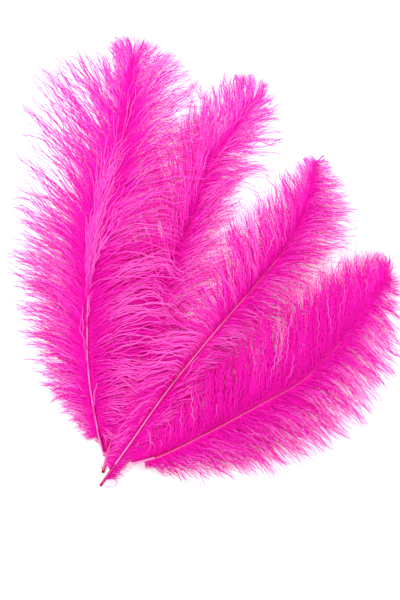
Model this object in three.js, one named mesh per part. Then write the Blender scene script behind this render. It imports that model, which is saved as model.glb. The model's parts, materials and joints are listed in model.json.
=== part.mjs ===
// A fanned bunch of four dyed ostrich plumes lying one on another on a table.
// Millimetres, +Z up. Each plume is built of the parts a feather grows: a hollow quill, a tapering solid
// shaft, a vane of barbs on each side, a tuft of barbs past the shaft's end, and soft down by the quill.
import * as THREE from 'three';

// ---- the whole fan ----
const longestShaft = 352;       // the left plume, from its cut end to the tip of its shaft
const drawnShaft = 352;         // the same stretch as the plan's points below are drawn
const planScale = longestShaft / drawnShaft;

// ---- quill and shaft ----
const quillDiameter = 3.0;      // outside of the hollow quill
const quillBore = 1.8;          // hollow inside it, open at the cut end
const quillLength = 24;         // from the cut end to the solid shaft
const quillPlug = 3;            // closed stretch between the hollow and the shaft
const shaftTipDiameter = 0.9;
const seam = 0.3;               // clearance between the quill, the shaft and the barbs' roots
const barbSeam = 1.2;           // stretch of bare shaft between one set of barbs and the next

// ---- barbs ----
const vaneRootThickness = 3.2;  // the vane is thickest along the shaft
const vaneEdgeThickness = 1.2;  // and thins towards the barbs' tips
const downLength = 42;          // stretch of the shaft past the quill that carries down instead of vane
const tuftLength = 22;          // stretch of the shaft's end that carries the tip tuft

// ---- the pile: how far apart neighbouring plumes lie, high in the middle and low round the outside ----
const layerGap = 0.5;           // clearance above a vane's edge, and above down that carries the next plume
const swingGap = 1.8;           // clearance above the left plume's down, which swings out from under another
const loft = 5.2;               // how far the curl of the barbs holds the next plume up in the middle
const edgePitch = vaneEdgeThickness + layerGap;
const middlePitch = vaneRootThickness + loft;
const pileCentre = { x: 80 * planScale, y: 120 * planScale };
const pileReach = { x: 165 * planScale, y: 215 * planScale };

// ---- facets ----
const quillSides = 10;
const shaftSides = 8;
const shaftSteps = 16;
const vaneSteps = 14;
const vaneStrips = 3;
const downSteps = 3;
const tuftSteps = 3;

// Each plume seen from above, measured from the place where the quills gather. The shaft runs from the
// cut end to its tip. The two tip lines give where the barbs end, at even steps from near the cut end to
// the shaft's tip, to the west (left) and to the east (right) of the shaft. Layer 0 lies on the table.
const plumes = [
  {
    name: 'under', layer: 0, tint: 0xf0259f, downGap: layerGap,
    shaft: [[-2, -12], [8, 25], [25, 84], [44, 136], [62, 179], [76, 211], [92, 262], [108, 282], [130, 314]],
    west: [[-5, 14], [-13, 67], [-11, 134], [2, 186], [24, 235], [57, 285], [85, 326], [110, 337], [125, 338]],
    east: [[16, 8], [46, 44], [84, 95], [108, 151], [117, 193], [121, 235], [146, 260], [155, 297], [141, 335]],
  },
  {
    name: 'left', layer: 1, tint: 0xf62fae, downGap: swingGap,
    shaft: [[0, 3], [-7, 33], [-14, 81], [-14, 149], [-9, 209], [8, 255], [19, 305], [24, 350]],
    west: [[-19, 15], [-51, 62], [-75, 118], [-82, 173], [-80, 225], [-61, 303], [-38, 348], [1, 362], [18, 373]],
    east: [[12, 13], [35, 42], [57, 87], [66, 134], [67, 181], [76, 237], [84, 295], [70, 346], [30, 372]],
  },
  {
    name: 'middle', layer: 2, tint: 0xf94cbd, downGap: layerGap,
    shaft: [[-4, -23], [8, -6], [25, 18], [53, 58], [84, 97], [111, 129], [133, 154], [159, 187], [176, 222], [184, 260]],
    west: [[0, -1], [14, 44], [38, 100], [69, 144], [96, 183], [115, 213], [134, 233], [163, 255], [181, 268]],
    east: [[14, -17], [56, 21], [95, 60], [128, 92], [161, 120], [188, 156], [218, 189], [219, 219], [193, 266]],
  },
  {
    name: 'right', layer: 3, tint: 0xf01fa0, downGap: layerGap,
    shaft: [[21, -3], [48, 5], [89, 25], [132, 48], [172, 70], [193, 89], [207, 105], [231, 137], [247, 158]],
    west: [[26, 13], [55, 48], [85, 79], [113, 108], [145, 133], [174, 160], [202, 177], [228, 184], [250, 179]],
    east: [[36, -9], [65, -17], [104, -21], [140, -12], [172, -4], [205, 15], [236, 42], [256, 84], [259, 163]],
  },
];
const firstTip = 0.05;          // share of the shaft at which both tip lines start

// Height of one layer at a place on the table: a dome over the pile's middle.
function pitch(x, y) {
  const out = ((x - pileCentre.x) / pileReach.x) ** 2 + ((y - pileCentre.y) / pileReach.y) ** 2;
  const dome = Math.max(0, 1 - out) ** 2;
  return edgePitch + (middlePitch - edgePitch) * dome;
}

const smoothCurve = (points) => new THREE.CatmullRomCurve3(
  points.map(([x, y]) => new THREE.Vector3(x, y, 0).multiplyScalar(planScale)));

// A plume's plan: where its shaft, its barbs' roots and its barbs' tips are at a share u of the shaft.
function planOf(plume) {
  const shaft = smoothCurve(plume.shaft);
  const tips = { west: smoothCurve(plume.west), east: smoothCurve(plume.east) };
  const length = shaft.getLength();
  const tubeShare = quillLength / length;
  const radius = (u) => {
    const along = Math.max(0, (u - tubeShare) / (1 - tubeShare));
    return THREE.MathUtils.lerp(quillDiameter, shaftTipDiameter, along) / 2;
  };
  const east = (u) => {
    const t = shaft.getTangentAt(u);
    return new THREE.Vector3(t.y, -t.x, 0);
  };
  const root = (u, side) => {
    const away = side === 'east' ? 1 : -1;
    return shaft.getPointAt(u).addScaledVector(east(u), away * (radius(u) + seam));
  };
  const tip = (u, side) => tips[side].getPoint(THREE.MathUtils.clamp((u - firstTip) / (1 - firstTip), 0, 1));
  return { plume, shaft, length, tubeShare, radius, east, root, tip };
}

// Writes a new place for every vertex of a geometry, given the old one.
function reshape(geometry, place) {
  const position = geometry.attributes.position;
  const vertex = new THREE.Vector3();
  for (let i = 0; i < position.count; i += 1) {
    vertex.fromBufferAttribute(position, i);
    position.setXYZ(i, ...place(vertex).toArray());
  }
  geometry.computeVertexNormals();
  return geometry;
}

// Bends a round body that stands along Y, from y = 0 to 1, onto the shaft between two shares of it.
function alongShaft(geometry, plan, from, to) {
  return reshape(geometry, ({ x, y, z }) => {
    const u = THREE.MathUtils.lerp(from, to, y);
    const centre = plan.shaft.getPointAt(THREE.MathUtils.clamp(u, 0, 1));
    const base = plan.plume.layer * pitch(centre.x, centre.y);
    return centre.addScaledVector(plan.east(u), x).add(new THREE.Vector3(0, 0, base + plan.radius(u) + z));
  });
}

function quillGeometry(plan) {
  const boreEnd = (quillLength - quillPlug) / quillLength;
  const profile = [[0, boreEnd], [quillBore / 2, boreEnd], [quillBore / 2, 0], [quillDiameter / 2, 0],
    [quillDiameter / 2, 0.5], [quillDiameter / 2, 1], [0, 1]];
  const geometry = new THREE.LatheGeometry(profile.map(([r, y]) => new THREE.Vector2(r, y)), quillSides);
  return alongShaft(geometry, plan, 0, plan.tubeShare);
}

function shaftGeometry(plan) {
  const start = plan.tubeShare + seam / plan.length;
  const geometry = new THREE.CylinderGeometry(1, 1, 1, shaftSides, shaftSteps);
  geometry.translate(0, 0.5, 0);
  reshape(geometry, (vertex) => {
    const radius = plan.radius(THREE.MathUtils.lerp(start, 1, vertex.y));
    return new THREE.Vector3(vertex.x * radius, vertex.y, vertex.z * radius);
  });
  return alongShaft(geometry, plan, start, tuftStart(plan) - seam / plan.length);
}

const tuftStart = (plan) => 1 - tuftLength / plan.length;

// A thin closed sheet whose two directions, a and b from 0 to 1, are laid out over the table by place(a, b).
// It rests on its layer's floor, and thickness(b, spot) says how thick it is.
function sheetGeometry(plan, steps, strips, place, thickness) {
  const geometry = new THREE.BoxGeometry(1, 1, 1, steps, strips, 1);
  return reshape(geometry, (vertex) => {
    const spot = place(vertex.x + 0.5, vertex.y + 0.5);
    const rise = vertex.z > 0 ? thickness(vertex.y + 0.5, spot) : 0;
    return new THREE.Vector3(spot.x, spot.y, plan.plume.layer * pitch(spot.x, spot.y) + rise);
  });
}

// The barbs of one side of the shaft, between two shares of it.
function sideGeometry(plan, side, from, to, steps, thickness) {
  const place = (a, b) => {
    const u = side === 'west' ? THREE.MathUtils.lerp(from, to, a) : THREE.MathUtils.lerp(to, from, a);
    return plan.root(u, side).lerp(plan.tip(u, side), b);
  };
  return sheetGeometry(plan, steps, vaneStrips, place, thickness);
}

const vaneThickness = (b) => THREE.MathUtils.lerp(vaneRootThickness, vaneEdgeThickness, b);

// Down is loose enough to fill its layer, so it carries whatever lies on it.
const downThickness = (plan) => (b, spot) => pitch(spot.x, spot.y) - plan.plume.downGap;

// The barbs round the end of the shaft, from the west tip line across the shaft's line to the east one.
function tuftGeometry(plan) {
  const start = tuftStart(plan);
  const place = (a, b) => {
    const u = THREE.MathUtils.lerp(1, start, a);
    const across = 2 * b - 1;
    const spot = plan.shaft.getPointAt(u);
    return spot.lerp(plan.tip(u, across < 0 ? 'west' : 'east'), Math.abs(across));
  };
  const thickness = () => vaneEdgeThickness;
  return sheetGeometry(plan, tuftSteps, 2 * vaneStrips, place, thickness);
}

const quillMaterial = { color: 0xd23a78, roughness: 0.35, metalness: 0 };
const shaftMaterial = { color: 0xf27fb4, roughness: 0.45, metalness: 0 };
const barbMaterial = (tint) => ({ color: tint, roughness: 0.8, metalness: 0 });

function buildPlume(plume) {
  const plan = planOf(plume);
  const group = new THREE.Group();
  const add = (part, geometry, look) => {
    const mesh = new THREE.Mesh(geometry, new THREE.MeshStandardMaterial(look));
    mesh.name = `${plume.name}_plume_${part}`;
    group.add(mesh);
  };
  const barbs = barbMaterial(plume.tint);
  const step = barbSeam / plan.length;
  const downEnd = plan.tubeShare + downLength / plan.length;
  add('quill', quillGeometry(plan), quillMaterial);
  add('shaft', shaftGeometry(plan), shaftMaterial);
  for (const side of ['west', 'east']) {
    const down = sideGeometry(plan, side, firstTip, downEnd, downSteps, downThickness(plan));
    const vane = sideGeometry(plan, side, downEnd + step, tuftStart(plan) - step, vaneSteps, vaneThickness);
    add(`${side}_down`, down, barbs);
    add(`${side}_vane`, vane, barbs);
  }
  add('tip_tuft', tuftGeometry(plan), barbs);
  return group;
}

const bunch = new THREE.Group();
for (const plume of plumes) bunch.add(buildPlume(plume));

// The origin is at the middle of the bunch's outline, on the table.
const box = new THREE.Box3().setFromObject(bunch);
bunch.position.set(-(box.min.x + box.max.x) / 2, -(box.min.y + box.max.y) / 2, -box.min.z);
const part = new THREE.Group();
part.add(bunch);

export default part;
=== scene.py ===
"""Four dyed ostrich plumes, fanned out and lying on one another, as hair-fine geometry.

Each barb is a thin tapering rib with a hundred or so still finer barbules along it. Lengths in the
tables and in the plume functions are millimetres on the plan that the CAD part is drawn on. OFFSET
carries that plan into the frame, and meshes are written in metres.
"""

import json
import math

import bpy
import numpy as np
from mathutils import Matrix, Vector


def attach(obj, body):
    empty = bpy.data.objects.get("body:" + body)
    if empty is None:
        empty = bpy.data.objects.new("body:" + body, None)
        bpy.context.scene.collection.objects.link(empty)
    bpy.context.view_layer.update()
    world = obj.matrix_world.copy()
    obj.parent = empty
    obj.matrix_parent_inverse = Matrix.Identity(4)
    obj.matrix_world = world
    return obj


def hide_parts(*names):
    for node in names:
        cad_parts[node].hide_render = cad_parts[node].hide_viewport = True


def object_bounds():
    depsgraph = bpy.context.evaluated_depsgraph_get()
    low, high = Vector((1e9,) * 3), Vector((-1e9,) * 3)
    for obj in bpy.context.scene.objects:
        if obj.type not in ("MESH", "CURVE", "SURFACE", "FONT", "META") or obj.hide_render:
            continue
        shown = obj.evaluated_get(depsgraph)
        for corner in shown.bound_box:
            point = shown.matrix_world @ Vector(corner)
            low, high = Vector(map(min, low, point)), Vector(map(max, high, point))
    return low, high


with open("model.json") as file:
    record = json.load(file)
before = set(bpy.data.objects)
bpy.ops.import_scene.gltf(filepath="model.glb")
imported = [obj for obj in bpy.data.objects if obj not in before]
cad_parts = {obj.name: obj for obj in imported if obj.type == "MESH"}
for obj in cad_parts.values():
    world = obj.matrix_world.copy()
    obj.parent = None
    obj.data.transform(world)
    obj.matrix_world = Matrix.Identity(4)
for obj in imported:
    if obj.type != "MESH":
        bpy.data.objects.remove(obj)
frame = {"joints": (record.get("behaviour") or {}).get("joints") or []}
CAD_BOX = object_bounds()

MM = 0.001
rng = np.random.default_rng(41)

# ---- the part's own sizes, as in the CAD model ----
QUILL_DIAMETER = 3.0
QUILL_BORE = 1.8
QUILL_LENGTH = 24.0
SHAFT_TIP_DIAMETER = 0.9
DOWN_LENGTH = 42.0
TUFT_LENGTH = 22.0
EDGE_PITCH = 1.7
MIDDLE_PITCH = 8.4
PILE_CENTRE = np.array([80.0, 120.0])
PILE_REACH = np.array([165.0, 215.0])
FIRST_TIP = 0.05

# Shaft and tip lines on the plan, as the CAD part draws them.
PLANS = {
    "under": {
        "layer": 0,
        "shaft": [(-2, -12), (8, 25), (25, 84), (44, 136), (62, 179), (76, 211), (92, 262),
                  (108, 282), (130, 314)],
        "west": [(-5, 14), (-13, 67), (-11, 134), (2, 186), (24, 235), (57, 285), (85, 326),
                 (110, 337), (125, 338)],
        "east": [(16, 8), (46, 44), (84, 95), (108, 151), (117, 193), (121, 235), (146, 260),
                 (155, 297), (141, 335)],
    },
    "left": {
        "layer": 1,
        "shaft": [(0, 3), (-7, 33), (-14, 81), (-14, 149), (-9, 209), (8, 255), (19, 305),
                  (24, 350)],
        "west": [(-19, 15), (-51, 62), (-75, 118), (-82, 173), (-80, 225), (-61, 303), (-38, 348),
                 (1, 362), (18, 373)],
        "east": [(12, 13), (35, 42), (57, 87), (66, 134), (67, 181), (76, 237), (84, 295),
                 (70, 346), (30, 372)],
    },
    "middle": {
        "layer": 2,
        "shaft": [(-4, -23), (8, -6), (25, 18), (53, 58), (84, 97), (111, 129), (133, 154),
                  (159, 187), (176, 222), (184, 260)],
        "west": [(0, -1), (14, 44), (38, 100), (69, 144), (96, 183), (115, 213), (134, 233),
                 (163, 255), (181, 268)],
        "east": [(14, -17), (56, 21), (95, 60), (128, 92), (161, 120), (188, 156), (218, 189),
                 (219, 219), (193, 266)],
    },
    "right": {
        "layer": 3,
        "shaft": [(21, -3), (48, 5), (89, 25), (132, 48), (172, 70), (193, 89), (207, 105),
                  (231, 137), (247, 158)],
        "west": [(26, 13), (55, 48), (85, 79), (113, 108), (145, 133), (174, 160), (202, 177),
                 (228, 184), (250, 179)],
        "east": [(36, -9), (65, -17), (104, -21), (140, -12), (172, -4), (205, 15), (236, 42),
                 (256, 84), (259, 163)],
    },
}


def joint(name):
    return next(j for j in frame["joints"] if j["name"] == name)


# The left plume turns about its quill's cut end, which ties the plan to the frame.
OFFSET = np.array(joint("left_plume_fan")["pos_m"][:2]) / MM - np.array(PLANS["left"]["shaft"][0], float)

# No barb is aimed further than this past the CAD model's box.
PROUD = 13.0
LOWEST, HIGHEST = (np.array(corner[:2]) / MM - OFFSET for corner in CAD_BOX)


# ---------------------------------------------------------------- curves
class Curve:
    """A centripetal Catmull-Rom curve through points, read at a share of its points or of its length."""

    SAMPLES = 900

    def __init__(self, points):
        p = np.array(points, float)
        p = np.vstack([2 * p[0] - p[1], p, 2 * p[-1] - p[-2]])
        spans = len(points) - 1
        t = np.linspace(0, spans, self.SAMPLES)
        i = np.minimum(t.astype(int), spans - 1)
        w = (t - i)[:, None]
        knots = np.sqrt(np.linalg.norm(np.diff(p, axis=0), axis=1))[:, None]
        d0, d1, d2 = knots[i], knots[i + 1], knots[i + 2]
        a, b, c, d = p[i], p[i + 1], p[i + 2], p[i + 3]
        leave = ((b - a) / d0 - (c - a) / (d0 + d1) + (c - b) / d1) * d1
        arrive = ((c - b) / d1 - (d - b) / (d1 + d2) + (d - c) / d2) * d1
        turn, bend = -3 * b + 3 * c - 2 * leave - arrive, 2 * b - 2 * c + leave + arrive
        self.at_samples = b + leave * w + turn * w**2 + bend * w**3
        self.share = t / spans
        gone = np.linalg.norm(np.diff(self.at_samples, axis=0), axis=1).cumsum()
        self.length = float(gone[-1])
        self.gone = np.concatenate([[0], gone]) / self.length

    def _read(self, grid, u):
        return np.stack([np.interp(u, grid, column) for column in self.at_samples.T], -1)

    def by_point(self, u):
        return self._read(self.share, u)

    def by_length(self, u):
        return self._read(self.gone, u)

    def tangent(self, u):
        step = 0.004
        ahead = self.by_length(np.clip(u + step, 0, 1)) - self.by_length(np.clip(u - step, 0, 1))
        return ahead / np.linalg.norm(ahead, axis=-1, keepdims=True)


def pitch(xy):
    """Height of one layer of the pile at places on the plan."""
    out = (((xy - PILE_CENTRE) / PILE_REACH) ** 2).sum(-1)
    return EDGE_PITCH + (MIDDLE_PITCH - EDGE_PITCH) * np.clip(1 - out, 0, None) ** 2


def smooth(x):
    x = np.clip(x, 0, 1)
    return x * x * (3 - 2 * x)


def turned(v, angle):
    """Plan directions turned anticlockwise by an angle in radians."""
    c, s = np.cos(angle), np.sin(angle)
    return np.stack([v[..., 0] * c - v[..., 1] * s, v[..., 0] * s + v[..., 1] * c], -1)


def unit(v):
    return v / np.maximum(np.linalg.norm(v, axis=-1, keepdims=True), 1e-9)


class Plume:
    def __init__(self, name):
        plan = PLANS[name]
        self.name = name
        self.body = f"{name}_plume"
        self.layer = plan["layer"]
        self.shaft = Curve(plan["shaft"])
        self.tips = {"west": Curve(plan["west"]), "east": Curve(plan["east"])}
        self.quill_end = QUILL_LENGTH / self.shaft.length
        self.down_end = (QUILL_LENGTH + DOWN_LENGTH) / self.shaft.length
        self.tuft_start = 1 - TUFT_LENGTH / self.shaft.length

    def radius(self, u):
        along = np.clip((u - self.quill_end) / (1 - self.quill_end), 0, 1)
        return (QUILL_DIAMETER + (SHAFT_TIP_DIAMETER - QUILL_DIAMETER) * along) / 2

    def east(self, u):
        t = self.shaft.tangent(u)
        return np.stack([t[..., 1], -t[..., 0]], -1)

    def floor(self, xy):
        return self.layer * pitch(xy)

    def tip(self, side, u, sweep):
        gone = np.clip((u - FIRST_TIP) / (1 - FIRST_TIP), 0, 1)
        return self.tips[side].by_point(gone**along(sweep, gone))


# ---------------------------------------------------------------- meshes
def mesh_object(name, points, faces, uv, material):
    """A mesh of triangles from plan millimetres, with one UV place for each vertex."""
    me = bpy.data.meshes.new(name)
    where = points.copy()
    where[:, :2] += OFFSET
    me.vertices.add(len(points))
    me.vertices.foreach_set("co", (where * MM).astype(np.float32).ravel())
    me.loops.add(faces.size)
    me.loops.foreach_set("vertex_index", faces.astype(np.int32).ravel())
    me.polygons.add(len(faces))
    me.polygons.foreach_set("loop_start", np.arange(0, faces.size, 3, dtype=np.int32))
    me.polygons.foreach_set("use_smooth", np.ones(len(faces), bool))
    layer = me.uv_layers.new(name="OFBake")
    layer.uv.foreach_set("vector", np.clip(uv, 0.002, 0.998)[faces.ravel()].astype(np.float32).ravel())
    me.update(calc_edges=True)
    me.materials.append(material)
    obj = bpy.data.objects.new(name, me)
    bpy.context.scene.collection.objects.link(obj)
    return obj


def joined(*parts):
    points, faces, uv, base = [], [], [], 0
    for p, f, m in parts:
        points.append(p)
        faces.append(f + base)
        uv.append(m)
        base += len(p)
    return np.concatenate(points), np.concatenate(faces), np.concatenate(uv)


def rings(lines, radii, sides):
    """Rings of points round B lines of N points, the first point of each ring below its line."""
    ahead = unit(np.gradient(lines, axis=1))
    across = unit(np.stack([ahead[..., 1], -ahead[..., 0], np.zeros(lines.shape[:2])], -1))
    up = np.cross(across, ahead)
    angle = np.arange(sides) * 2 * math.pi / sides - math.pi / 2
    ring = np.cos(angle)[:, None] * across[:, :, None] + np.sin(angle)[:, None] * up[:, :, None]
    return lines[:, :, None] + ring * radii[:, :, None, None]


def skin(points, uv):
    """Closes rings of points, B x N x sides x 3, into tubes with capped ends."""
    count, steps, sides = points.shape[:3]
    ids = np.arange(count * steps * sides).reshape(count, steps, sides)
    here, there = ids[:, :-1], ids[:, 1:]
    here2, there2 = np.roll(here, -1, 2), np.roll(there, -1, 2)
    halves = ((here, here2, there2), (here, there2, there))
    faces = [np.stack(corners, -1).reshape(-1, 3) for corners in halves]
    for a in range(1, sides - 1):
        faces.append(ids[:, 0][:, [0, a + 1, a]])
        faces.append(ids[:, -1][:, [0, a, a + 1]])
    return points.reshape(-1, 3), np.concatenate(faces), uv.reshape(-1, 2)


def ribs(barbs, radii):
    """Three-sided tapering tubes, one for each barb."""
    count, steps = barbs.lines.shape[:2]
    share = np.broadcast_to(np.linspace(0, 1, steps)[None, :, None], (count, steps, 3))
    which = np.broadcast_to(np.arange(count)[:, None, None], share.shape)
    corner_tones = np.linspace(-0.02, 0.02, 3)
    tone = barbs.tone[:, None, None] + corner_tones + share * 0
    return skin(rings(barbs.lines, radii, 3), barbs.colour_place(which, share, tone))


def along_lines(lines, which, t):
    """Places and directions at share t of the chosen lines."""
    steps = lines.shape[1] - 1
    i = np.minimum((t * steps).astype(int), steps - 1)
    w = (t * steps - i)[:, None]
    a, b = lines[which, i], lines[which, i + 1]
    return a + (b - a) * w, unit(b - a)


# How barbules differ. Spreads are standard deviations.
FIRST_BARBULE = 0.02            # lowest draw for a barbule's place along its barb
SPLAY_SPREAD = 0.5              # as a share of the splay
LEAST_SPLAY = 2                 # degrees
BARBULE_LENGTHS = (0.5, 1.3)
BARBULE_GIRTHS = (0.7, 1.2)
BARBULE_THINNING = 0.45         # from a barb's root to its tip
BARBULE_TONE_SPREAD = 0.05
BARBULE_MAP_CELL = 0.011        # half the width of the patch of map that a barbule takes
LOWEST_BARBULE = 0.15           # above the table


def barbules(barbs):
    """Hair-fine spikes along both edges of every barb, each one a closed needle."""
    look = barbs.look
    length = np.linalg.norm(np.diff(barbs.lines, axis=1), axis=2).sum(1)
    which = np.repeat(np.arange(len(length)), (length * look["barbules_per_mm"]).astype(int))
    total = len(which)
    t = rng.uniform(FIRST_BARBULE, 1, total) ** look["crowd"]
    place, ahead = along_lines(barbs.lines, which, t)
    splay = along(look["splay"], barbs.root)[which]
    angle = np.abs(rng.normal(splay, splay * SPLAY_SPREAD)) + LEAST_SPLAY
    angle = np.radians(angle) * rng.choice([-1, 1], total)
    tilt = rng.normal(0, look["tilt"], total)
    way = unit(np.column_stack([turned(ahead[:, :2], angle), ahead[:, 2] + tilt]))
    size = along(look["barbule"], barbs.root)[which] * rng.uniform(*BARBULE_LENGTHS, total)
    taper = along(look["taper"], barbs.root)[which]
    apex = place + way * (size * (1 - 0.97 * t) ** taper)[:, None]
    apex[:, 2] = np.maximum(apex[:, 2], LOWEST_BARBULE)
    thick = look["barbule_radius"] * (1 - BARBULE_THINNING * t)
    thick = thick * rng.uniform(*BARBULE_GIRTHS, total)
    across = unit(np.cross(way, [0, 0, 1.0]))
    up = np.cross(across, way)
    corners = []
    for turn in np.arange(3) * 2 * math.pi / 3:
        corners.append(place + thick[:, None] * (math.cos(turn) * across + math.sin(turn) * up))
    points = np.stack([*corners, apex], 1)
    tones = np.clip(barbs.tone[which] + rng.normal(0, BARBULE_TONE_SPREAD, total), 0.02, 0.98)
    cell = BARBULE_MAP_CELL * np.array([(-1, -1), (1, -1), (0, 1), (0.3, 0)])
    uv = barbs.colour_place(which, t, tones)[:, None] + cell
    faces = np.arange(total)[:, None, None] * 4 + np.array([(0, 1, 3), (1, 2, 3), (2, 0, 3), (0, 2, 1)])
    return points.reshape(-1, 3), faces.reshape(-1, 3), uv.reshape(-1, 2)


# ---------------------------------------------------------------- barbs
# How barbs differ. Spreads are standard deviations, turns are degrees, and lengths are millimetres.
GROUP_SHORTFALL = 0.045         # of locks and of clumps, as a share of the way to the outline
BARB_SHORTFALL = 0.05
STOPS_SHORT_AT = (0.35, 0.92)   # share of that way gone by barbs that stop short
OUTLINE_SPREAD = 0.008          # of tips along the outline, as a share of the shaft
PULL_SPREAD, MOST_PULL = 0.25, 0.95
LOCK_PULL_SPREAD, MOST_LOCK_PULL = 0.1, 0.85
GATHERED_AHEAD = 0.26           # from a root to the place that gathered tips are drawn to, in shafts
CLUMP_LEAN = 0.6                # of a lock's own turn
STRAY_LEAN = 18
PARTING_WIDTH = 0.05            # share of the shaft over which a parting fades
LOCK_LEAVE, BARB_LEAVE = 7, 4
CURL_SPREAD = 0.45              # as a share of the curl
LOOSE_CURL, STRAY_CURL = 6, 25
HANDLE = 0.36                   # length of a curve's handles, as a share of its span
CLUMP_LEVEL, BARB_LEVEL = 0.12, 0.05
BRIGHT_LIFT = 0.15              # by which bright barbs lie higher, in layers
BRIGHT_TONE = 0.93
PAINTED_LIGHT_BY_LEVEL = 0.35            # painted light: higher barbs are painted paler, lower ones darker
LOCK_TONE_SPREAD, BARB_TONE_SPREAD = 0.17, 0.06
ROOT_SHADE_END = 0.45           # share of a barb where its root's shade has gone
RISE_END = 0.18                 # and where it has come from its shaft to its own level
SETTLE_START = 0.3              # and where it begins to settle
SETTLED_THINNING = 0.45         # of a layer where it has settled
RIPPLE_HEIGHT, RIPPLE_RADIAN = 0.4, 5
LONG_WAVES = (24, 42)           # shortest and longest of the long waves
WAVE_HEIGHTS = (0.6, 1.4)
PHASES = (0, 6.3)               # a whole turn, in radians
LOWEST_BARB = 0.45              # above the table

# A value that changes along the shaft is given as pairs of a share of the shaft's length and a number.
VANE = {
    "first": FIRST_TIP,                       # where on the shaft the barbs begin
    "spacing": ((0.05, 0.5), (0.35, 0.7), (0.6, 0.92), (1, 1.0)),  # between roots along the shaft
    "clump": 2.2,                             # roots whose tips draw together into one strand
    "lock": 11.0,                             # roots that lean and lie together
    "pull": 0.6,                              # how far tips are drawn into their clump's point
    "lock_pull": 0.15,                        # and into their lock's
    "lean": 4.0,                              # a lock's own turn about its roots, in degrees
    "loose": ((0.1, 7), (0.3, 4.0), (0.8, 5), (1, 9)),  # each barb's own turn, in degrees
    "sweep": 0.85,                            # below 1, barbs reach further towards the plume's tip
    "leave": ((0, 46), (1, 16)),              # angle to the shaft at the root, in degrees
    "curl": ((0, 12), (1, 5)),                # turn away from the shaft's tip at the end, in degrees
    "wave": ((0.05, 2.2), (0.35, 1.6), (1, 1.2)),  # height of the long waves at the tip
    "short": ((0.05, 0.5), (0.3, 0.3), (0.85, 0.3), (1, 0.6)),  # share of barbs that stop short
    "stray": 0.03,                            # share of barbs that cross their neighbours
    "reach": 1.04,                            # of the longest barbs, in lengths of the vane
    "mat_reach": ((0.4, 0.92), (0.6, 0.74), (1, 0.7)),  # and of the undergrowth
    "mat_spacing": ((0.05, 0.6), (0.3, 0.65), (0.7, 0.7), (1, 1.2)),  # between the undergrowth's roots
    "cover": ((0.4, 0), (0.6, 1)),            # how far barbs hide the shaft
    "level": (0.35, 0.85),                    # lowest and highest lock, in layers
    "arch": 0.5,                              # rise in the middle, in layers
    "settle": 0.0,                            # how far the tips sink past the plumes below
    "partings": (),                           # where the vane parts, and how wide, in degrees
    "extra": (),                              # further kinds of barb on this side
    "gather": 0.0,                            # how far tips are drawn to the shaft ahead of them
    "crinkle": ((0.05, 0.6), (1, 0.35)),      # height of the small waves
    "crinkle_length": (12, 18),               # shortest and longest of the small waves
    "root_shade": 0.3,                        # share of a barb's tone that its root keeps
    "fade": 1.0,                              # share of the paling along a barb that shows
    "tone": 0.62,                             # from 0, the dye's darkest shade, to 1, its palest
    "tone_spread": 0.22,                      # between clumps
    "bright": 0.12,                           # share of barbs in the palest tone, lifted on top: partly pale strands of their own, partly painted highlight
    "steps": 20,                              # points along a barb
    "rib": 0.34,                              # radius of a rib at its root
    "barbule": ((0.05, 4.0), (0.3, 4.6), (1, 4.4)),  # length of a barbule at a barb's root
    "barbule_radius": 0.23,                   # radius of a barbule at its root
    "barbules_per_mm": 1.9,                   # along a barb
    "splay": ((0.05, 18), (0.3, 8), (1, 8)),  # angle between barbule and barb, in degrees
    "tilt": 0.16,                             # of barbules up or down, as a slope
    "taper": ((0.05, 0.8), (0.4, 1.0), (0.6, 1.5), (1, 1.6)),  # above 1, barbules shorten sooner
    "crowd": 1.2,                             # above 1, barbules crowd towards a barb's root
}

# Barbs that lie deeper and close the vane, in the darkest tone as painted shade under the barbs above.
UNDERGROWTH = {
    "pull": 0.1,
    "lock_pull": 0.0,
    "loose": 6.0,
    "stray": 0.0,
    "level": (0.1, 0.4),
    # Painted shade: the deep barbs' dark tone.
    "tone": 0.1,
    "tone_spread": 0.06,
    "bright": 0.0,
    "steps": 10,
    "rib": 0.3,
    "barbule": 7.0,
    "barbule_radius": 0.4,
    "barbules_per_mm": 1.5,
    "splay": 22,
    "crinkle": 0.0,
}

# Long barbs that lie up along the shaft and hide it.
RIDGE = {
    "spacing": ((0.36, 40), (0.4, 1.5), (0.62, 1.6), (0.68, 40)),
    "root_shade": 0.8,
    "gather": 0.84,
    "pull": 0.2,
    "leave": 6,
    "curl": 8,
    "loose": 5.0,
    "level": (0.9, 1.0),
    "arch": 0.75,
    "tone": 0.8,
    "tone_spread": 0.12,
    "bright": 0.3,
    "wave": 2.0,
    "cover": 1.0,
}

# Single long barbs that stand out past the rest round the edge.
FRINGE = {
    "spacing": ((0.05, 2.6), (0.4, 3.2), (0.85, 1.8), (1, 0.5)),
    "pull": 0.0,
    "loose": ((0.1, 8), (0.85, 6), (1, 9)),
    "short": 0.0,
    "reach": 1.15,
    "barbule": 2.0,
    "wave": 2.2,
}


def along(value, u):
    """A look's value at shares u of the shaft."""
    if np.isscalar(value):
        return np.full(len(u), float(value))
    return np.interp(u, *zip(*value))


class Groups:
    """Neighbouring barbs taken together, those whose roots lie between the same marks on the shaft."""

    def __init__(self, u, size, length):
        step = size / length
        marks = np.arange(u.min() - step, u.max() + step, step)
        marks = marks + rng.uniform(-0.35, 0.35, len(marks)) * step
        self.of = np.digitize(u, np.sort(marks))
        self.count = len(marks) + 1
        members = np.maximum(np.bincount(self.of, minlength=self.count), 1)
        self.middle = self.each(np.bincount(self.of, u, minlength=self.count) / members)

    def each(self, values):
        """One value for each group, handed to its barbs."""
        return values[self.of]

    def normal(self, spread):
        return self.each(rng.normal(0, spread, self.count))

    def uniform(self, low, high):
        return self.each(rng.uniform(low, high, self.count))


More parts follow.
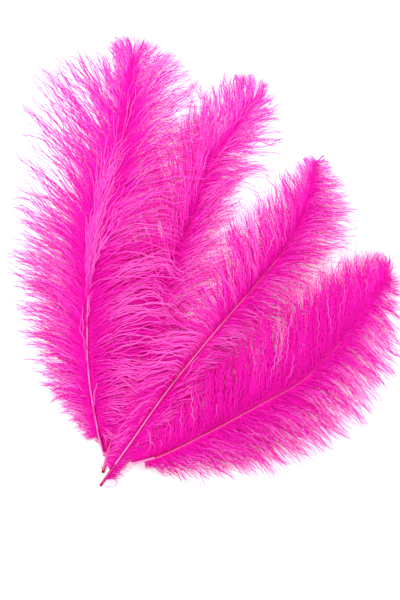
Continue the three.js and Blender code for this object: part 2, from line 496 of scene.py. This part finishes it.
class Barbs:
    """Centre lines of barbs, B x N x 3, with the share of the shaft where each is rooted and its tone."""

    def __init__(self, lines, root, tone, look):
        self.lines, self.root, self.tone, self.look = lines, root, tone, look

    def between(self, start, end):
        keep = (self.root >= start) & (self.root < end)
        return Barbs(self.lines[keep], self.root[keep], self.tone[keep], self.look)

    def mesh(self):
        """A rib and its barbules for every barb."""
        t = np.linspace(0, 1, self.lines.shape[1])
        radii = self.look["rib"] * (1 - 0.25 * t) * (1 - 0.7 * t**8) * np.ones((len(self.root), 1))
        return joined(ribs(self, radii), barbules(self))

    def colour_place(self, which, t, tone):
        """Places on the map for shares t along the chosen barbs, darker at the root."""
        kept = along(self.look["root_shade"], self.root)[which]
        kept = kept + (1 - kept) * smooth(t / ROOT_SHADE_END)
        return np.stack([t * self.look["fade"], tone * kept], -1)


def rooted(look, length):
    """Shares of the shaft where barbs are rooted, one at random in each space."""
    grid = np.linspace(look["first"], 1, 500)
    spaces = length * np.diff(grid) / along(look["spacing"], grid[1:])
    roots = np.concatenate([[0], spaces.cumsum()])
    count = int(roots[-1])
    return np.interp(np.arange(count) + rng.random(count), roots, grid)


def grow(plume, side, look):
    """All the barbs of one side of a plume."""
    length = plume.shaft.length
    away = 1 if side == "east" else -1
    u = rooted(look, length)
    count = len(u)
    clumps, locks = Groups(u, look["clump"], length), Groups(u, look["lock"], length)
    stray = rng.random(count) < look["stray"]

    cover = along(look["cover"], u)
    inwards = rng.uniform(0.85 - 2.1 * cover, 0.95 - 0.25 * cover)
    root = plume.shaft.by_length(u) + plume.east(u) * (away * plume.radius(u) * inwards)[:, None]
    reach = along(look["reach"], u)
    reach = reach - np.abs(locks.normal(GROUP_SHORTFALL)) - np.abs(clumps.normal(GROUP_SHORTFALL))
    reach = reach - np.abs(rng.normal(0, BARB_SHORTFALL, count))
    short = rng.random(count) < along(look["short"], u)
    reach = np.where(short, reach * rng.uniform(*STOPS_SHORT_AT, count), reach)

    own = plume.tip(side, u + rng.normal(0, OUTLINE_SPREAD, count), look["sweep"])
    fine = plume.tip(side, clumps.middle, look["sweep"])
    coarse = plume.tip(side, locks.middle, look["sweep"])
    pull = np.clip(rng.normal(look["pull"], PULL_SPREAD, count), 0, MOST_PULL)[:, None]
    lock_pull = locks.normal(LOCK_PULL_SPREAD) + along(look["lock_pull"], u)
    lock_pull = np.clip(lock_pull, 0, MOST_LOCK_PULL)[:, None]
    ahead = plume.shaft.by_length(np.minimum(u + GATHERED_AHEAD, 1))
    own, fine, coarse = (spot + (ahead - spot) * look["gather"] for spot in (own, fine, coarse))
    tip = own + (fine - own) * pull
    tip = tip + (coarse - tip) * lock_pull

    lean = locks.normal(look["lean"]) + clumps.normal(CLUMP_LEAN * look["lean"])
    lean = lean + rng.normal(0, 1, count) * np.where(stray, STRAY_LEAN, along(look["loose"], u))
    for place, angle in look["partings"]:
        lean = lean + away * angle * np.sign(place - u) * np.exp(-np.abs(u - place) / PARTING_WIDTH)
    chord = turned((tip - root) * reach[:, None], np.radians(lean))
    tip = np.clip(root + chord, LOWEST - PROUD, HIGHEST + PROUD)
    chord = tip - root
    span = np.linalg.norm(chord, axis=1)

    leave = along(look["leave"], u) + locks.normal(LOCK_LEAVE) + rng.normal(0, BARB_LEAVE, count)
    curl = along(look["curl"], u) * (1 + locks.normal(CURL_SPREAD))
    curl = curl + rng.normal(0, 1, count) * np.where(stray, STRAY_CURL, LOOSE_CURL)
    first = turned(plume.shaft.tangent(u), -away * np.radians(leave))
    last = turned(unit(chord), -away * np.radians(curl))
    share = np.linspace(0, 1, look["steps"])[None]
    t = share[..., None]
    handle = (HANDLE * span)[:, None, None]
    p0, p3 = root[:, None], tip[:, None]
    p1, p2 = p0 + first[:, None] * handle, p3 - last[:, None] * handle
    plan = (1 - t) ** 3 * p0 + 3 * (1 - t) ** 2 * t * p1 + 3 * (1 - t) * t**2 * p2 + t**3 * p3
    plan += wave(plan, span, clumps, locks, u, look)

    level = locks.uniform(*look["level"]) + clumps.uniform(-CLUMP_LEVEL, CLUMP_LEVEL)
    level = level + rng.uniform(-BARB_LEVEL, BARB_LEVEL, count)
    bright = rng.random(count) < look["bright"]
    level = np.where(stray, 1.0, np.clip(level + BRIGHT_LIFT * bright, 0.04, 1))
    top = plume.radius(u) * (1.1 + cover) * clumps.uniform(0.6, 1.3)
    z = heights(plume, plan, share, span, top, level, look)

    # Painted light and shade: barbs that lie higher are painted paler, lower ones darker.
    tone = look["tone"] + PAINTED_LIGHT_BY_LEVEL * (level - np.mean(look["level"]))
    tone = tone + clumps.normal(look["tone_spread"])
    # Bright barbs and strays lie on top and get the palest tone, partly painted highlight.
    tone = np.where(bright | stray, BRIGHT_TONE, tone + locks.normal(LOCK_TONE_SPREAD))
    tone = tone + rng.normal(0, BARB_TONE_SPREAD, count)
    return Barbs(np.concatenate([plan, z[..., None]], -1), u, np.clip(tone, 0.04, 0.96), look)


def heights(plume, plan, share, span, top, level, look):
    """Each barb leaves its shaft at its own height, then lies at its level in its plume's layer."""
    layer = pitch(plan)
    rise = smooth(share / RISE_END)
    arch = look["arch"] * 4 * share * (1 - share) ** 2
    over = top[:, None] * (1 - rise) + layer * (level[:, None] + arch) * rise
    settle = look["settle"] * smooth((share - SETTLE_START) / (1 - SETTLE_START))
    phase = rng.uniform(*PHASES, (len(top), 1))
    ripple = RIPPLE_HEIGHT * np.sin(share * span[:, None] / RIPPLE_RADIAN + phase) * share
    z = plume.floor(plan) * (1 - settle) + over * (1 - SETTLED_THINNING * settle) + ripple
    return np.maximum(z, LOWEST_BARB)


def wave(plan, span, clumps, locks, u, look):
    """Sideways waves, long ones shared by a lock and small ones by a clump, loosened for each barb."""
    count, steps = plan.shape[:2]
    share = np.linspace(0, 1, steps)[None]
    gone = share * span[:, None]
    ahead = unit(np.gradient(plan, axis=1))
    across = np.stack([-ahead[..., 1], ahead[..., 0]], -1)
    long_turn = gone / locks.uniform(*LONG_WAVES)[:, None] * 2 * math.pi
    small_turn = gone / clumps.uniform(*look["crinkle_length"])[:, None] * 2 * math.pi
    long_phase = locks.uniform(*PHASES) + rng.normal(0, 0.5, count)
    small_phase = clumps.uniform(*PHASES) + rng.normal(0, 0.8, count)
    height = along(look["wave"], u) * clumps.uniform(*WAVE_HEIGHTS)
    sway = np.sin(long_turn + long_phase[:, None]) * height[:, None]
    sway *= (0.15 + share) * share
    crinkle = np.sin(small_turn + small_phase[:, None]) * along(look["crinkle"], u)[:, None]
    return across * (sway + crinkle * smooth(share * 4))[..., None]


# ---------------------------------------------------------------- materials
def srgb(code):
    """A colour written as in a picture editor, as linear light."""
    parts = [int(code[i:i + 2], 16) / 255 for i in (1, 3, 5)]
    return tuple(c / 12.92 if c <= 0.04045 else ((c + 0.055) / 1.055) ** 2.4 for c in parts)


def ramp(nodes, stops):
    node = nodes.new("ShaderNodeValToRGB")
    elements = node.color_ramp.elements
    while len(elements) < len(stops):
        elements.new(0.5)
    for element, (place, colour) in zip(elements, stops):
        element.position = place
        element.color = (*srgb(colour), 1)
    return node


def mapped_material(name, across, fading, end, roughness, values):
    """Colour that runs across the map by one ramp, and passes into an end colour along it by another."""
    mat = bpy.data.materials.new(name)
    mat.use_nodes = True
    nodes, links = mat.node_tree.nodes, mat.node_tree.links
    shader = nodes["Principled BSDF"]
    shader.inputs["Roughness"].default_value = roughness
    for key, value in values.items():
        shader.inputs[key].default_value = value
    place = nodes.new("ShaderNodeUVMap")
    place.uv_map = "OFBake"
    split = nodes.new("ShaderNodeSeparateXYZ")
    links.new(place.outputs["UV"], split.inputs[0])
    tone = ramp(nodes, across)
    links.new(split.outputs["Y"], tone.inputs["Fac"])
    gone = ramp(nodes, fading)
    links.new(split.outputs["X"], gone.inputs["Fac"])
    mix = nodes.new("ShaderNodeMix")
    mix.data_type = "RGBA"
    near, far = (s for s in mix.inputs if s.type == "RGBA")
    links.new(gone.outputs["Color"], mix.inputs["Factor"])
    links.new(tone.outputs["Color"], near)
    far.default_value = (*srgb(end), 1)
    links.new(next(s for s in mix.outputs if s.type == "RGBA"), shader.inputs["Base Color"])
    return mat


def barb_material():
    """Dyed barbs with a faint painted pink glow that stands in for light passing through them, so that
    even shut-in barbs keep a deep pink instead of falling into shade.
    """
    tones = [(0.0, "#EE00B0"), (0.3, "#F000BC"), (0.6, "#F420BE"), (0.85, "#F84CCC"),
             (1.0, "#FF74DC")]
    paling = [(0.0, "#000000"), (0.25, "#000000"), (0.5, "#505050"), (0.68, "#404040"),
              (0.9, "#000000")]
    # Specular level, and a faint painted glow in the dye's pink that lifts the shade between barbs.
    gloss_and_painted_glow = {"Specular IOR Level": 0.2, "Emission Color": (1.0, 0.0, 0.38, 1.0), "Emission Strength": 0.1}
    return mapped_material("dyed_barbs", tones, paling, "#F454C8", 0.62, gloss_and_painted_glow)


def shaft_material(plume):
    """Dyed keratin, with a painted highlight along one flank and painted shade along the other."""
    # Round the shaft: painted shade on one flank, a painted highlight on the other.
    across = {
        "under": [(0.0, "#C81070"), (0.35, "#A8005C"), (0.5, "#F460AC"), (0.66, "#E84498"),
                  (1.0, "#C81070")],
        "left": [(0.0, "#C81070"), (0.3, "#A80058"), (0.48, "#B80068"), (0.56, "#FF84D4"),
                 (0.68, "#FF80D0"), (0.76, "#C81070"), (1.0, "#C81070")],
        "middle": [(0.0, "#B80058"), (0.3, "#B80058"), (0.46, "#B4004C"), (0.54, "#FF90D4"),
                   (0.66, "#FF80CC"), (0.74, "#C4107C"), (1.0, "#B80058")],
        "right": [(0.0, "#C81070"), (0.28, "#E860A0"), (0.36, "#FF94CC"), (0.45, "#F068B0"),
                  (0.51, "#B80060"), (0.75, "#B00058"), (1.0, "#C81070")],
    }[plume.name]
    fading = [(0.0, "#000000"), (0.4, "#202020"), (0.65, "#C0C0C0"), (1.0, "#F8F8F8")]
    gloss = {"Specular IOR Level": 0.1}
    return mapped_material(f"{plume.name}_shaft_keratin", across, fading, "#D00C80", 0.4, gloss)


def quill_material(plume):
    """The bare quill, with a painted highlight along one flank and painted shade at its edges, passing at
    the cut end into the end's own colour, which on the pale ends is partly painted highlight.
    """
    # Round the quill: a painted highlight along one flank, painted shade at the edges.
    across = {
        "under": [(0.0, "#A80850"), (0.35, "#A80058"), (0.5, "#F478A8"), (0.64, "#E45490"),
                  (0.75, "#A80850"), (1.0, "#A80850")],
        "left": [(0.0, "#B00858"), (0.3, "#A00050"), (0.48, "#B80468"), (0.56, "#FF90D8"),
                 (0.7, "#F880CC"), (0.78, "#B00858"), (1.0, "#B00858")],
        "middle": [(0.0, "#A80048"), (0.36, "#AC0050"), (0.48, "#CC3894"), (0.53, "#CC3894"),
                   (0.6, "#AC0054"), (1.0, "#A80048")],
        "right": [(0.0, "#C02068"), (0.28, "#F088C0"), (0.5, "#F488C0"), (0.6, "#B80860"),
                  (1.0, "#C02068")],
    }[plume.name]
    # Cut-end colours; the pale ones partly stand as painted highlight.
    end = {"under": "#98003C", "left": "#F890BC", "middle": "#B00050", "right": "#FFC0D0"}[plume.name]
    fading = [(0.0, "#FFFFFF"), (0.06, "#D0D0D0"), (0.2, "#181818"), (1.0, "#000000")]
    gloss = {"Specular IOR Level": 0.15}
    return mapped_material(f"{plume.name}_quill_keratin", across, fading, end, 0.36, gloss)


# ---------------------------------------------------------------- plumes
VANE_PIECES = 4                 # along each side's vane


def place_piece(obj, plume, slot, *nodes):
    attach(obj, plume.body)
    if nodes:
        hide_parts(*nodes)


def fluff(name, plume, slot, barbs, *nodes):
    """One piece of vane, from several kinds of barb."""
    mesh = joined(*(kind.mesh() for kind in barbs))
    place_piece(mesh_object(name, *mesh, BARBS), plume, slot, *nodes)


def build_vanes(plume, looks):
    """Each side's down and vane, and the tuft that both sides end in."""
    tuft = []
    for side, look in looks.items():
        mat = UNDERGROWTH | {"reach": look["mat_reach"], "spacing": look["mat_spacing"]}
        barbs = [grow(plume, side, look | kind) for kind in (mat, {}, FRINGE, *look["extra"])]
        if "loop" in look:
            barbs.append(loop(plume, look))
        node = f"{plume.name}_plume_{side}"
        down = [kind.between(0, plume.down_end) for kind in barbs]
        fluff(f"{node}_down_fluff", plume, "down", down, f"{node}_down")
        marks = np.linspace(plume.down_end, plume.tuft_start, VANE_PIECES + 1)
        for k, (start, end) in enumerate(zip(marks, marks[1:])):
            part = [kind.between(start, end) for kind in barbs]
            nodes = [f"{node}_vane"] if k == 0 else []
            fluff(f"{node}_barbs_{k + 1}", plume, "barbs", part, *nodes)
        tuft += [kind.between(plume.tuft_start, 2) for kind in barbs]
    node = f"{plume.name}_plume_tip_tuft"
    fluff(f"{node}_fan", plume, "barbs", tuft, node)


def loop(plume, look):
    """A long barb that turns right round beside the quill."""
    t = np.linspace(0, 1, 24)
    start = plume.shaft.by_length(np.array([0.015]))[0]
    turn = t * 1.9 * math.pi
    width, height = look["loop"]
    xy = start + np.column_stack([width * (1 - np.cos(turn)) / 2, height * np.sin(turn) - 2 * t])
    line = np.column_stack([xy, 2.2 + 1.2 * np.sin(t * math.pi)])
    return Barbs(line[None], np.array([0.03]), np.array([0.5]), look | {"barbule": 1.2, "rib": 0.42})


def shaft_line(plume, start, end, steps):
    u = np.linspace(start, end, steps)
    xy = plume.shaft.by_length(u)
    return u, np.column_stack([xy, plume.floor(xy) + plume.radius(u)])


def tube_map(steps, sides):
    """A map whose first direction runs along the tube and second one round it, from below."""
    share, turn = np.meshgrid(np.linspace(0, 1, steps), np.linspace(0.03, 0.97, sides), indexing="ij")
    return np.stack([share, turn], -1)[None]


def build_shaft(plume):
    sides, steps = 16, 140
    u, line = shaft_line(plume, plume.quill_end, 1, steps)
    radii = plume.radius(u) * (0.88 - 0.36 * u)
    mesh = skin(rings(line[None], radii[None], sides), tube_map(steps, sides))
    node = f"{plume.name}_plume_shaft"
    place_piece(mesh_object(f"{node}_skin", *mesh, shaft_material(plume)), plume, "shaft", node)


def build_quill(plume):
    """The hollow quill, cut slantwise at its end, with the small ring where the bare part begins."""
    sides, steps = 20, 60
    slant, slant_reach, ring_place, plug = 0.9, 5.0, 9.0, 3
    u, line = shaft_line(plume, plume.quill_end, 0, steps)
    gone = u * plume.shaft.length
    bump = np.exp(-(((gone - ring_place) / 0.6) ** 2))
    groove = np.exp(-(((gone - ring_place - 2) / 0.5) ** 2))
    swell = 0.95 + 0.05 * (bump - groove)
    bore = gone[::-1] < QUILL_LENGTH - plug
    outer = rings(line[None], (plume.radius(u) * swell)[None], sides)[0]
    inner_radius = np.full(steps, QUILL_BORE / 2)
    inner = rings(line[None], inner_radius[None], sides)[0][::-1][bore]
    points = np.concatenate([outer, inner])
    distance = np.concatenate([gone, gone[::-1][bore]])
    axis = unit(line[-2] - line[-1])
    rise = points[..., 2] - points[..., 2].min(1, keepdims=True)
    shift = slant * rise * np.clip(1 - distance / slant_reach, 0, 1)[:, None]
    points = points + shift[..., None] * axis
    uv = tube_map(len(points), sides)
    uv[..., 0] = (distance / QUILL_LENGTH)[None, :, None]
    uv[..., 1] = 1 - uv[..., 1]
    mesh = [skin(points[None], uv)]
    if plume.name == "under":
        mesh.append(spur(plume))
    node = f"{plume.name}_plume_quill"
    place_piece(mesh_object(f"{node}_skin", *joined(*mesh), quill_material(plume)), plume, "quill", node)


def spur(plume):
    """The sliver of keratin that stands off the under plume's cut end."""
    steps = 12
    t = np.linspace(0, 1, steps)
    start = plume.shaft.by_length(np.array([0.008]))[0]
    back = -plume.east(np.array([0.0]))[0]
    ahead = plume.shaft.tangent(np.array([0.0]))[0]
    xy = start + np.outer(t * 3.2, back) + np.outer(t**2 * 4.5, ahead)
    line = np.column_stack([xy, 1.5 + 0.6 * t])
    radii = 0.75 * (1 - 0.8 * t)
    return skin(rings(line[None], radii[None], 10), tube_map(steps, 10) * [0.2, 1])


BARBS = barb_material()

# What sets each side apart from VANE. Sides that reach past the pile settle onto the table.
LOCKS_NEAR_TIP = ((0.6, 0.15), (0.8, 0.35))
UNDER_COVER = ((0.1, 0), (0.2, 1), (0.57, 1), (0.62, 0), (0.7, 0), (0.75, 1))
SIDES = {
    "under": {
        "west": {
            "cover": UNDER_COVER,
            "tone": 0.66,
            "root_shade": 0.6,
            "mat_reach": ((0.4, 1.0), (0.65, 0.96), (0.85, 0.72), (1, 0.7)),
            "lock_pull": LOCKS_NEAR_TIP,
        },
        "east": {
            "sweep": 0.95,
            "cover": UNDER_COVER,
            "tone": 0.66,
            "root_shade": 0.6,
            "curl": ((0, 16), (1, 10)),
            "lock_pull": LOCKS_NEAR_TIP,
            "reach": ((0.45, 1.04), (0.58, 1.0), (0.7, 0.88), (0.85, 0.92), (1, 1.06)),
        },
    },
    "left": {
        "west": {
            "sweep": 0.88,
            "curl": ((0, 18), (1, 6)),
            "settle": 0.8,
            "cover": ((0.36, 0), (0.5, 1)),
            "partings": ((0.64, 8),),
            "extra": (RIDGE,),
            "lock_pull": ((0.3, 0.2), (0.5, 0.5), (1, 0.4)),
            "reach": ((0.05, 1.12), (0.3, 1.08), (0.5, 1.12), (0.6, 1.22), (0.74, 1.22),
                      (0.88, 1.06), (1, 1.04)),
            "pull": 0.45,
        },
        "east": {
            "sweep": 0.8,
            "leave": ((0, 55), (0.5, 50), (1, 16)),
            "curl": ((0, 50), (0.5, 55), (1, 12)),
            "cover": ((0.36, 0), (0.5, 1)),
            "wave": ((0.05, 2.4), (0.5, 2.4), (1, 1.2)),
            "extra": (RIDGE,),
            "lock_pull": ((0.5, 0.2), (0.7, 0.35), (1, 0.35)),
            "pull": 0.45,
            "reach": ((0.5, 1.04), (0.66, 1.18), (0.86, 1.16), (1, 1.06)),
            "mat_reach": ((0.4, 1.0), (0.65, 0.98), (0.85, 0.72), (1, 0.7)),
        },
    },
    "middle": {
        "west": {
            "sweep": ((0, 1.4), (0.42, 1.5), (0.56, 0.95), (0.7, 0.74), (1, 0.8)),
            "leave": ((0, 40), (0.45, 55), (0.6, 40), (1, 16)),
            "curl": ((0, 8), (0.5, -2), (0.7, -6), (1, 0)),
            "settle": 0.2,
            "spacing": ((0.05, 0.5), (0.5, 0.7), (1, 0.9)),
            "cover": ((0.8, 0), (0.95, 1)),
            "tone": 0.68,
            "root_shade": ((0.15, 0.4), (0.3, 1.0), (0.55, 0.8), (0.75, 0.4)),
            "mat_reach": ((0.4, 1.0), (0.68, 1.0), (0.85, 0.75), (1, 0.7)),
            "mat_spacing": ((0.05, 0.6), (0.4, 0.5), (0.65, 0.5), (1, 1.1)),
            "lock_pull": LOCKS_NEAR_TIP,
        },
        "east": {
            "sweep": ((0.2, 0.8), (0.4, 1.1), (0.6, 1.2), (0.8, 0.9)),
            "curl": ((0, 16), (0.5, 4), (1, 8)),
            "settle": 0.4,
            "cover": ((0.8, 0), (0.95, 1)),
            "lock_pull": LOCKS_NEAR_TIP,
            "spacing": ((0.015, 2.2), (0.05, 0.9), (0.12, 0.5), (0.6, 0.62), (1, 0.9)),
            "taper": ((0.05, 0.8), (0.6, 1.0), (1, 1.5)),
            "root_shade": ((0.3, 0.4), (0.45, 0.8), (0.7, 0.5)),
            "reach": ((0.03, 0.45), (0.1, 1.04), (0.6, 1.04), (0.75, 0.93), (1, 1.0)),
            "first": 0.025,
            "mat_reach": ((0.02, 0.5), (0.1, 1.0), (0.6, 1.0), (0.8, 0.75)),
            "loop": (12, 3.2),
        },
    },
    "right": {
        "west": {
            "leave": ((0, 60), (0.6, 50), (1, 18)),
            "curl": ((0, 2), (1, 0)),
            "settle": 0.3,
            "spacing": ((0.014, 0.5), (0.7, 0.55), (1, 0.9)),
            "taper": ((0.05, 0.8), (0.75, 1.0), (1, 1.5)),
            "cover": ((0.75, 0), (0.9, 1)),
            "tone": 0.22,
            "bright": 0.03,
            "stray": 0.01,
            "crinkle": 0.7,
            "crinkle_length": (8, 11),
            "steps": 28,
            "fade": 0.4,
            "mat_reach": 1.0,
            "mat_spacing": ((0.014, 0.38), (0.7, 0.5), (1, 0.9)),
            "barbules_per_mm": 2.3,
            "first": 0.014,
        },
        "east": {
            "sweep": 0.58,
            "settle": 0.8,
            "cover": ((0.75, 0), (0.9, 1)),
            "lock": 12,
            "lean": 3,
            "spacing": ((0.05, 2.2), (0.1, 1.2), (0.16, 0.6), (0.6, 0.8), (1, 1.0)),
            "mat_reach": 0.92,
            "reach": ((0.05, 0.6), (0.16, 1.06), (0.3, 1.12), (0.7, 1.12), (1, 1.04)),
        },
    },
}

for plume_name, sides in SIDES.items():
    plume = Plume(plume_name)
    build_quill(plume)
    build_shaft(plume)
    build_vanes(plume, {side: VANE | look for side, look in sides.items()})


# ---------------------------------------------------------------- stage, light and camera
# The white table glows a little, so that it comes out as white as in the photo.
TABLE_HALF_WIDTH = 1.5          # metres
TABLE_GREY = 0.93
TABLE_GLOW = 0.13
SKY_STRENGTH = 1.16
VIEW_CENTRE = (83.5, 140.1)     # on the plan


def build_stage():
    half = TABLE_HALF_WIDTH
    corners = [(-half, -half, 0), (half, -half, 0), (half, half, 0), (-half, half, 0)]
    me = bpy.data.meshes.new("table_top")
    me.from_pydata(corners, [], [(0, 1, 2, 3)])
    floor = bpy.data.objects.new("table_top", me)
    bpy.context.scene.collection.objects.link(floor)
    mat = bpy.data.materials.new("white_table")
    mat.use_nodes = True
    shader = mat.node_tree.nodes["Principled BSDF"]
    shader.inputs["Roughness"].default_value = 0.9
    shader.inputs["Base Color"].default_value = (TABLE_GREY, TABLE_GREY, TABLE_GREY, 1)
    shader.inputs["Emission Color"].default_value = (1, 1, 1, 1)
    shader.inputs["Emission Strength"].default_value = TABLE_GLOW
    floor.data.materials.append(mat)


def area_light(name, place, target, size, watts):
    data = bpy.data.lights.new(name, "AREA")
    data.shape = "DISK"
    data.size = size
    data.energy = watts
    lamp = bpy.data.objects.new(name, data)
    lamp.location = place
    aim = Vector(target) - Vector(place)
    lamp.rotation_mode = "QUATERNION"
    lamp.rotation_quaternion = aim.to_track_quat("-Z", "Y")
    bpy.context.scene.collection.objects.link(lamp)


def build_light():
    world = bpy.data.worlds.new("studio")
    world.use_nodes = True
    sky = world.node_tree.nodes["Background"]
    sky.inputs["Color"].default_value = (1, 1, 1, 1)
    sky.inputs["Strength"].default_value = SKY_STRENGTH
    bpy.context.scene.world = world
    area_light("key", place=(-0.5, 0.55, 1.1), target=(0, 0, 0), size=0.5, watts=8.5)


def build_camera():
    """Straight above the bunch, at the distance where the frame's 600 rows take in 522 mm."""
    lens, sensor, frame_height = 85, 36, 0.522
    subject_height = 0.012
    centre = np.array(VIEW_CENTRE) + OFFSET
    data = bpy.data.cameras.new("camera")
    data.lens = lens
    data.sensor_width = sensor
    camera = bpy.data.objects.new("camera", data)
    camera.location = (*(centre * MM), subject_height + frame_height * lens / sensor)
    data.clip_start, data.clip_end = 0.01, 20
    bpy.context.scene.collection.objects.link(camera)
    bpy.context.scene.camera = camera


build_stage()
build_light()
build_camera()
bpy.context.scene.view_settings.view_transform = "Standard"
